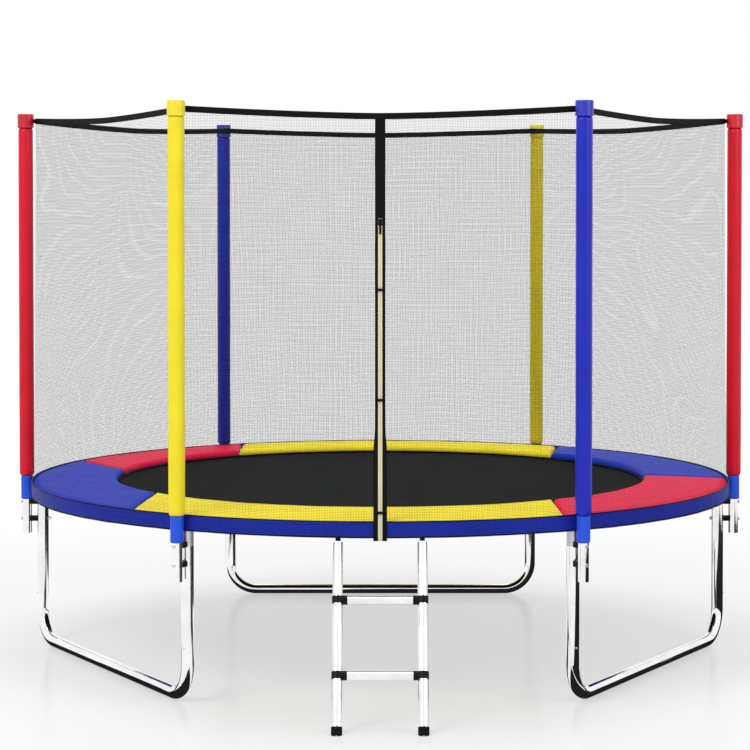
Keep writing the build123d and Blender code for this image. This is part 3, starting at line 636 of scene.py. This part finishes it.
def triangleRingPoints():
    r = ringShape
    corners = [Vector((r["base"], r["halfWidth"], r["height"])), Vector((r["corner"], 0, r["height"])),
               Vector((r["base"], -r["halfWidth"], r["height"]))]
    points = []
    for i, corner in enumerate(corners):
        before, after = corners[i - 1], corners[(i + 1) % 3]
        near = corner + (before - corner).normalized() * 0.005
        far = corner + (after - corner).normalized() * 0.005
        points += [near, (near + corner * 2 + far) / 4, far]
    return points


springMesh = wireMesh(springPoints(), springShape["wire"], 4)
ringMesh = wireMesh(triangleRingPoints(), ringShape["wire"], 6, closed=True)
sectorStep = 2 * math.pi / matShape["sectors"]


def addSectorSheet(bm, angle, inner, outer, height, rows, columns):
    def place(u, w):
        turn = angle + (u - 0.5) * sectorStep
        radius = inner + (outer - inner) * w
        point = polar(radius, turn, height)
        return point, (point.x, point.y)
    addGrid(bm, columns, rows, place)
    bmesh.ops.remove_doubles(bm, verts=bm.verts, dist=0.00001)
    bmesh.ops.recalc_face_normals(bm, faces=bm.faces)
    if sum(f.normal.z for f in bm.faces) < 0:
        bmesh.ops.reverse_faces(bm, faces=bm.faces)


def addStitches(bm, angle, radius, height, pitch=0.007, length=0.004):
    # one row of thread stitches along an arc
    count = int(sectorStep * radius / pitch)
    for i in range(count):
        turn = angle + sectorStep * ((i + 0.5) / count - 0.5)
        matrix = Matrix.Rotation(turn, 4, "Z") @ Matrix.Translation((radius, 0, height)) @ \
            Matrix.Diagonal((0.0009, length, 0.0005, 1))
        bmesh.ops.create_cube(bm, size=1.0, matrix=matrix)


def makeSector(index):
    m = matShape
    angle = (index + 0.5) * sectorStep
    label = "%02d" % (index + 1)
    bm = bmesh.new()
    addSectorSheet(bm, angle, 0, matRadius - 0.0005, matBox[0][2], m["rows"], m["columns"])
    bmesh.ops.solidify(bm, geom=list(bm.faces), thickness=m["thickness"])
    cloth = finishMesh(bm, "matSector" + label, None, [finishes["matCloth"]], smooth=False)
    if cloth.bound_box[1][2] < matBox[0][2] + 0.0002:
        cloth.data.transform(Matrix.Translation((0, 0, m["thickness"])))
    bm = bmesh.new()
    addSectorSheet(bm, angle, webbingBox[1][0] - 0.0458, webbingBox[1][0] - 0.0002, webbingBox[0][2] + 0.0002, 4, 10)
    bmesh.ops.solidify(bm, geom=list(bm.faces), thickness=-0.0055)
    band = finishMesh(bm, "matWebbing" + label, None, [finishes["blackWebbing"]], smooth=False)
    bm = bmesh.new()
    for inset in m["stitchRows"]:
        addStitches(bm, angle, matRadius - inset, matBox[1][2] + 0.0001)
    stitches = finishMesh(bm, "matStitches" + label, None, [finishes["blackWebbing"]], smooth=False)
    bm = bmesh.new()
    hooked = bmesh.new()
    perSector = springShape["count"] // m["sectors"]
    spacing = 360 / springShape["count"]
    for i in range(perSector):
        turn = Matrix.Rotation(angle + math.radians(spacing * (i - (perSector - 1) / 2)), 4, "Z")
        for target, source in ((bm, springMesh), (hooked, ringMesh)):
            before = len(target.verts)
            target.from_mesh(source)
            target.verts.ensure_lookup_table()
            bmesh.ops.transform(target, matrix=turn, verts=target.verts[before:])
    springs = finishMesh(bm, "springs" + label, None, [finishes["wireZinc"]])
    rings = finishMesh(hooked, "triangleRings" + label, None, [finishes["wireZinc"]])
    for piece, node, finish in ((cloth, "mat_sheet", "black_mat_mesh"), (band, "mat_webbing", "black_webbing"),
                                (stitches, None, "black_webbing"), (springs, "springs", "zinc_wire"),
                                (rings, "v_rings", "zinc_wire")):
        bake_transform(piece)
        if node:
            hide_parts(node)


for index in range(matShape["sectors"]):
    makeSector(index)
print("mat and springs made")


# net walls and their top hem
netShape = {"footRadius": 1.5358, "knee": 0.743, "planeDistance": 1.3216, "wallTop": 2.2649,
            "hemCentre": 2.3152, "sag": 0.022, "frontSag": 0.029, "hemHeight": 0.026, "hang": 1.5,
            "columns": 60, "rows": 64, "slack": 0.0035, "sideHalf": 0.77, "entranceHalf": 0.0185}
sideAngles = {"back_right": 30, "back": 90, "back_left": 150, "front_left": 210, "front": 270, "front_right": 330}


def sideSag(side):
    return netShape["frontSag"] if side == "front" else netShape["sag"]


def wallPoint(side, share, height, push=0.0):
    # share runs -1..1 across the side; push is outwards
    n = netShape
    middle = math.radians(sideAngles[side])
    turn = share * halfSide
    rise = min(max((height - n["knee"]) / (n["wallTop"] - n["knee"]), 0), 1)
    foot = polar(n["footRadius"] + push, turn, 0)
    chord = n["planeDistance"] + push
    head = Vector((chord, chord * math.tan(halfSide) * share, 0))
    point = foot.lerp(head, rise)
    point.z = height
    return Matrix.Rotation(middle, 4, "Z") @ point


def hemHeightAt(side, share):
    return netShape["hemCentre"] - sideSag(side) * (1 - abs(share) ** netShape["hang"])


def addWall(bm, side, low, high):
    n = netShape

    def place(u, w):
        share = low + (high - low) * u
        top = hemHeightAt(side, share) - n["hemHeight"] / 2 + 0.002
        height = skirtLow + (top - skirtLow) * w
        free = math.sin(math.pi * min(max((height - 0.80) / (top - 0.80), 0), 1))
        billow = noise.noise(Vector((share * 3.2, height * 0.8, sideAngles[side]))) * n["slack"] * 2.2
        pleat = math.sin(share * 46 + 3 * noise.noise(Vector((share * 5, 0, 7)))) * 0.0012
        gather = math.exp(-(height - 0.80) / 0.16) if height > 0.80 else 0
        push = billow * free * (1 - share * share) - abs(pleat) * gather
        point = wallPoint(side, share, height, push)
        return point, (share * n["sideHalf"], height)

    columns = round(n["columns"] * (high - low) / 2)
    addGrid(bm, columns, n["rows"], place)


for side in sideAngles:
    bm = bmesh.new()
    doorway = netShape["entranceHalf"] / netShape["sideHalf"]
    spans = [(-1, -doorway), (doorway, 1)] if side == "front" else [(-1, 1)]
    for low, high in spans:
        addWall(bm, side, low, high)
    bmesh.ops.recalc_face_normals(bm, faces=bm.faces)
    wall = finishMesh(bm, "netWall" + side.title().replace("_", ""), "frame", [finishes["net"]])
    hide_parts("net_panel_" + side)


def makeHem():
    n = netShape
    bm = bmesh.new()
    for side in sideAngles:
        def place(u, w):
            share = -1 + 2 * u
            turn = 2 * math.pi * w
            across = math.copysign(abs(math.cos(turn)) ** 0.5, math.cos(turn)) * 0.0017
            up = math.copysign(abs(math.sin(turn)) ** 0.5, math.sin(turn)) * (n["hemHeight"] / 2 - 0.0006)
            wave = noise.noise(Vector((share * 6, sideAngles[side], 2))) * 0.0012
            height = hemHeightAt(side, share) + up
            point = wallPoint(side, share, n["wallTop"], across + wave)
            point.z = height
            return point, (share * n["sideHalf"], up + across)
        before = set(bm.verts)
        addGrid(bm, 48, 12, place)
        bmesh.ops.remove_doubles(bm, verts=[v for v in bm.verts if v not in before], dist=0.00001)
    hemCorner = n["planeDistance"] / math.cos(halfSide)
    capFace = poleRadius - 0.0355 - 0.0004
    for degrees in stations.values():
        angle = math.radians(degrees)
        middle = (hemCorner + capFace) / 2
        matrix = Matrix.Translation(polar(middle, angle, n["hemCentre"])) @ Matrix.Rotation(angle, 4, "Z") @ \
            Matrix.Diagonal((capFace - hemCorner + 0.002, 0.020, 0.018, 1))
        cube = bmesh.ops.create_cube(bm, size=1.0, matrix=matrix)["verts"]
        edges = {e for v in cube for e in v.link_edges}
        bmesh.ops.bevel(bm, geom=list(edges), offset=0.0025, segments=2, profile=0.5, affect="EDGES", material=-1)
    bmesh.ops.holes_fill(bm, edges=[e for e in bm.edges if e.is_boundary], sides=0)
    bmesh.ops.recalc_face_normals(bm, faces=bm.faces)
    hem = finishMesh(bm, "netHem", "frame", [finishes["blackWebbing"]])
    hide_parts("net_top_hem")


makeHem()
print("net walls made")


# entrance strip: border, zip, slider and cross tabs
entranceShape = {"halfWidth": 0.020, "footHalf": 0.026, "flareLow": 1.00, "flareHigh": 1.10, "zipHalf": 0.0085,
                 "bottom": 0.6712, "zipTop": 1.892, "thickness": 0.0028, "tape": 0.0014, "strap": 0.0014,
                 "toothPitch": 0.0036, "stitchPitch": 0.006, "steps": 200}
slantLean = math.atan((netShape["footRadius"] - netShape["planeDistance"]) / (netShape["wallTop"] - netShape["knee"]))


def stripPoint(x, height, push=0.0):
    # a point on the strip's centre plane, or push metres in front of it
    n = netShape
    if height <= n["knee"]:
        return Vector((x, -n["footRadius"] - push, height))
    back = (height - n["knee"]) * math.tan(slantLean)
    return Vector((x, -n["footRadius"] + back - push * math.cos(slantLean), height + push * math.sin(slantLean)))


def halfWidthAt(height):
    e = entranceShape
    rise = smoothStep((height - e["flareLow"]) / (e["flareHigh"] - e["flareLow"]))
    return e["footHalf"] + (e["halfWidth"] - e["footHalf"]) * rise


def addStrip(bm, left, right, low, high, rows, columns=4, push=0.0):
    def place(u, w):
        height = low + (high - low) * w
        a = left(height) if callable(left) else left
        b = right(height) if callable(right) else right
        x = a + (b - a) * u
        return stripPoint(x, height, push), (x, height)
    addGrid(bm, columns, rows, place)


def addTab(bm, x, height, size, push, roll=0.0):
    turn = Matrix.Rotation(-slantLean if height > netShape["knee"] else 0, 4, "X")
    matrix = Matrix.Translation(stripPoint(x, height, push)) @ turn @ Matrix.Rotation(roll, 4, "Y") @ \
        Matrix.Diagonal((*size, 1))
    return bmesh.ops.create_cube(bm, size=1.0, matrix=matrix)["verts"]


def bevelVerts(bm, verts, offset, segments=2):
    edges = {e for v in verts for e in v.link_edges}
    bmesh.ops.bevel(bm, geom=list(edges), offset=offset, segments=segments, profile=0.5, affect="EDGES", material=-1)


def makeEntrance():
    e = entranceShape
    top = hemHeightAt("front", 0) - netShape["hemHeight"] / 2 + 0.006
    bm = bmesh.new()
    addStrip(bm, lambda z: -halfWidthAt(z), -e["zipHalf"], e["bottom"], e["zipTop"], 120, 3)
    addStrip(bm, e["zipHalf"], halfWidthAt, e["bottom"], e["zipTop"], 120, 3)
    addStrip(bm, lambda z: -halfWidthAt(z), halfWidthAt, e["zipTop"], top, 40, 8)
    bmesh.ops.recalc_face_normals(bm, faces=bm.faces)
    border = finishMesh(bm, "entranceBorder", None, [finishes["blackWebbing"]])
    wall = border.modifiers.new("wall", "SOLIDIFY")
    wall.thickness, wall.offset = e["thickness"], 0
    rim = border.modifiers.new("rim", "BEVEL")
    rim.width, rim.segments = 0.0007, 2
    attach(border, "frame")
    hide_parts("entrance_border")
    for i in range(e["steps"]):
        height = e["bottom"] + (top - e["bottom"]) * (i + 0.5) / e["steps"]

    bm = bmesh.new()
    for side in (-1, 1):
        for outer in (False, True):
            count = int((top - e["bottom"] - 0.01) / e["stitchPitch"])
            for i in range(count):
                height = e["bottom"] + 0.006 + i * e["stitchPitch"]
                x = halfWidthAt(height) - 0.0022 if outer else e["zipHalf"] + 0.0018
                addTab(bm, side * x, height, (0.0007, 0.0005, 0.0036), e["thickness"] / 2 + 0.0002)
    stitches = finishMesh(bm, "entranceStitches", "frame", [finishes["blackBinding"]], smooth=False)

    bm = bmesh.new()
    addStrip(bm, -e["zipHalf"], e["zipHalf"], e["bottom"] + 0.001, e["zipTop"], 120, 6)
    bmesh.ops.recalc_face_normals(bm, faces=bm.faces)
    tape = finishMesh(bm, "zipTape", None, [finishes["zipTape"]])
    wall = tape.modifiers.new("wall", "SOLIDIFY")
    wall.thickness, wall.offset = e["tape"], 0
    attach(tape, "frame")
    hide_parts("zip_tape")
    bm = bmesh.new()
    count = int((e["zipTop"] - e["bottom"] - 0.012) / e["toothPitch"])
    for i in range(count):
        height = e["bottom"] + 0.005 + i * e["toothPitch"]
        side = 1 if i % 2 else -1
        addTab(bm, side * 0.0009, height, (0.0046, 0.0009, 0.0022), 0.0008)
    teeth = finishMesh(bm, "zipTeeth", "frame", [finishes["zipTeeth"]], smooth=False)

    # slider: a bevelled body and bridge, with a bevelled pull that hangs in front
    headTop = e["zipTop"] - 0.0008
    bm = bmesh.new()
    body = addTab(bm, 0, headTop - 0.0140, (0.0160, 0.0042, 0.0262), 0.0041)
    bevelVerts(bm, body, 0.0014)
    bridge = addTab(bm, 0, headTop - 0.0150, (0.0050, 0.0016, 0.0150), 0.0060)
    bevelVerts(bm, bridge, 0.0006)
    pull = addTab(bm, 0, headTop - 0.0440, (0.0088, 0.0017, 0.0340), 0.0053)
    bevelVerts(bm, pull, 0.0007)
    bmesh.ops.recalc_face_normals(bm, faces=bm.faces)
    slider = finishMesh(bm, "zipSlider", "zip_slider", [finishes["blackPlastic"]], smooth=False)
    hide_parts("zip_slider")

    for level in ("lower", "middle", "upper"):
        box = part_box("entrance_tab_" + level)
        height = (box[0][2] + box[1][2]) / 2
        bm = bmesh.new()

        def place(u, w, height=height):
            # a strap that arches over the zip, with both ends flat on the border
            x = -0.0198 + 0.0396 * u
            arch = smoothStep((0.0135 - abs(x)) / 0.0042)
            push = 0.0026 + 0.0053 * arch
            return stripPoint(x, height + 0.0096 * (w - 0.5), push), (x, w * 0.0096)
        addGrid(bm, 24, 3, place)
        bmesh.ops.recalc_face_normals(bm, faces=bm.faces)
        strap = finishMesh(bm, "entranceStrap" + level.title(), None, [finishes["blackWebbing"]])
        wall = strap.modifiers.new("wall", "SOLIDIFY")
        wall.thickness, wall.offset = e["strap"], 0
        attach(strap, "tab_" + level)
        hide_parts("entrance_tab_" + level)


makeEntrance()
print("entrance made")


# floor, light and camera
# the last five entries shape the painted reflection patches that the polished tubes mirror
floorShape = {"radius": 9.0, "drop": 0.0008, "whiteFrom": 1.8, "whiteOver": 2.4, "glow": 0.50, "roughness": 0.22,
              "specular": 0.22, "paintedReflectionDepth": 0.985, "paintedReflectionReach": 5.5, "legReach": 1.75, "legInside": 1.20,
              "legOutside": 1.42}


def makeFloor():
    f = floorShape
    material, g, shader = newMaterial("studioFloor")
    where = g.add("ShaderNodeTexCoord").outputs["Object"]
    spots = groupNode(g, mottle, {"Vector": where, "Patch Scale": 0.6, "Speck Scale": 30.0})
    link(g, g.ramp(spots.outputs["Patches"], [(0.3, (0.80, 0.80, 0.80)), (0.7, (0.83, 0.83, 0.83))]),
         shader, "Base Color")
    shader.inputs["Roughness"].default_value = f["roughness"]
    shader.inputs["Specular IOR Level"].default_value = f["specular"]
    split = g.add("ShaderNodeSeparateXYZ", {"Vector": where})
    away = g.math("SQRT", g.math("ADD", g.math("POWER", split.outputs["X"], 2.0),
                                 g.math("POWER", split.outputs["Y"], 2.0)))
    fade = g.math("DIVIDE", g.math("SUBTRACT", away, f["whiteFrom"]), f["whiteOver"])
    fade = g.math("MINIMUM", g.math("MAXIMUM", fade, 0.0), 1.0)
    # painted reflection: glossy rays see black patches painted on the floor round the legs and white elsewhere, so
    # the polished tubes mirror dark edges; camera rays don't see the patches
    x, y = split.outputs["X"], split.outputs["Y"]

    def beyond(alongX, alongY, limit):
        return g.math("GREATER_THAN", g.math("MULTIPLY_ADD", x, alongX, g.math("MULTIPLY", y, alongY)), limit)

    def every(*masks):
        shared = masks[0]
        for mask in masks[1:]:
            shared = g.math("MULTIPLY", shared, mask)
        return shared

    near = g.math("LESS_THAN", away, f["legReach"])
    patches = [every(beyond(1.0, 1.07, -1.39), beyond(0.866, -0.5, 1.45), beyond(0, -1, -0.5)),
               every(beyond(0, 1, -1.15), beyond(0, -1, 0.45), beyond(0.78, 1, -1.885), beyond(-0.78, 1, -1.885)),
               beyond(1.0, 1.07, 1.09)]
    for degrees in (90, 210, 330):
        across, along = math.cos(math.radians(degrees)), math.sin(math.radians(degrees))
        patches.append(every(near, beyond(across, along, f["legInside"]), beyond(-across, -along, -f["legOutside"])))
    paintedReflectionMask = patches[0]
    for patch in patches[1:]:
        paintedReflectionMask = g.math("MAXIMUM", paintedReflectionMask, patch)
    paintedReflectionMask = g.math("MULTIPLY", paintedReflectionMask, g.math("LESS_THAN", away, f["paintedReflectionReach"]))
    path = g.add("ShaderNodeLightPath")
    glossy = path.outputs["Is Glossy Ray"]
    # painted reflection: glossy rays see the floor as white light, dimmed almost to black inside the patches
    strength = g.math("MULTIPLY_ADD", g.math("MULTIPLY", glossy, paintedReflectionMask), -f["paintedReflectionDepth"], 1.0)
    white = g.add("ShaderNodeEmission", {"Color": (1, 1, 1), "Strength": strength})
    seen = g.math("MAXIMUM", path.outputs["Is Camera Ray"], path.outputs["Is Transmission Ray"])
    glow = g.math("MULTIPLY_ADD", fade, 1.0 - f["glow"], f["glow"])
    mixed = g.add("ShaderNodeMixShader", {0: g.math("MAXIMUM", g.math("MULTIPLY", glow, seen), glossy)})
    g.tree.links.new(shader.outputs[0], mixed.inputs[1])
    g.tree.links.new(white.outputs[0], mixed.inputs[2])
    g.tree.links.new(mixed.outputs[0], g.tree.nodes["Material Output"].inputs["Surface"])
    bm = bmesh.new()
    bmesh.ops.create_circle(bm, cap_ends=True, segments=96, radius=f["radius"],
                            matrix=Matrix.Translation((0, 0, -f["drop"])))
    floor = finishMesh(bm, "studioFloor", None, [material], smooth=False)


worldShape = {"lit": 0.48, "seen": 1.0}
lamps = {
    "keyLight": {"place": (-4.5, -6.0, 6.0), "aim": (0, 0, 0.8), "size": 4.0, "power": 300},
    "fillLight": {"place": (5.5, -5.0, 4.0), "aim": (0, 0, 0.8), "size": 4.0, "power": 120},
    "topLight": {"place": (0, 0.5, 7.0), "aim": (0, 0, 0), "size": 6.0, "power": 230},
}


def makeLights():
    world = bpy.data.worlds.new("studio")
    bpy.context.scene.world = world
    world.use_nodes = True
    g = Graph(world.node_tree)
    path = g.add("ShaderNodeLightPath")
    seen = g.math("MAXIMUM", path.outputs["Is Camera Ray"], g.math("MAXIMUM", path.outputs["Is Glossy Ray"],
                                                                   path.outputs["Is Transmission Ray"]))
    back = world.node_tree.nodes["Background"]
    back.inputs["Color"].default_value = (1, 1, 1, 1)
    strength = g.math("MULTIPLY_ADD", seen, worldShape["seen"] - worldShape["lit"], worldShape["lit"])
    g.tree.links.new(strength, back.inputs["Strength"])
    for name, spec in lamps.items():
        lamp = bpy.data.lights.new(name, "AREA")
        lamp.shape, lamp.size, lamp.energy = "DISK", spec["size"], spec["power"]
        holder = bpy.data.objects.new(name, lamp)
        bpy.context.scene.collection.objects.link(holder)
        holder.location = spec["place"]
        facing = Vector(spec["aim"]) - Vector(spec["place"])
        holder.rotation_euler = facing.to_track_quat("-Z", "Y").to_euler()


cameraShape = {"place": (0, -10.300, 1.9375), "pitch": 1.5, "lens": 111.51, "sensor": 36.0,
               "shiftX": -0.00693, "shiftY": -0.1435, "reach": 60}


def makeCamera():
    c = cameraShape
    camera = bpy.data.cameras.new("camera")
    camera.lens = c["lens"]
    camera.sensor_width = c["sensor"]
    camera.shift_x = c["shiftX"]
    camera.shift_y = c["shiftY"]
    camera.clip_end = c["reach"]
    holder = bpy.data.objects.new("camera", camera)
    bpy.context.scene.collection.objects.link(holder)
    holder.location = c["place"]
    holder.rotation_euler = (math.radians(90 - c["pitch"]), 0, 0)
    bpy.context.scene.camera = holder
    bpy.context.scene.view_settings.view_transform = "Standard"


makeFloor()
makeLights()
makeCamera()
print("stage, light and camera made")
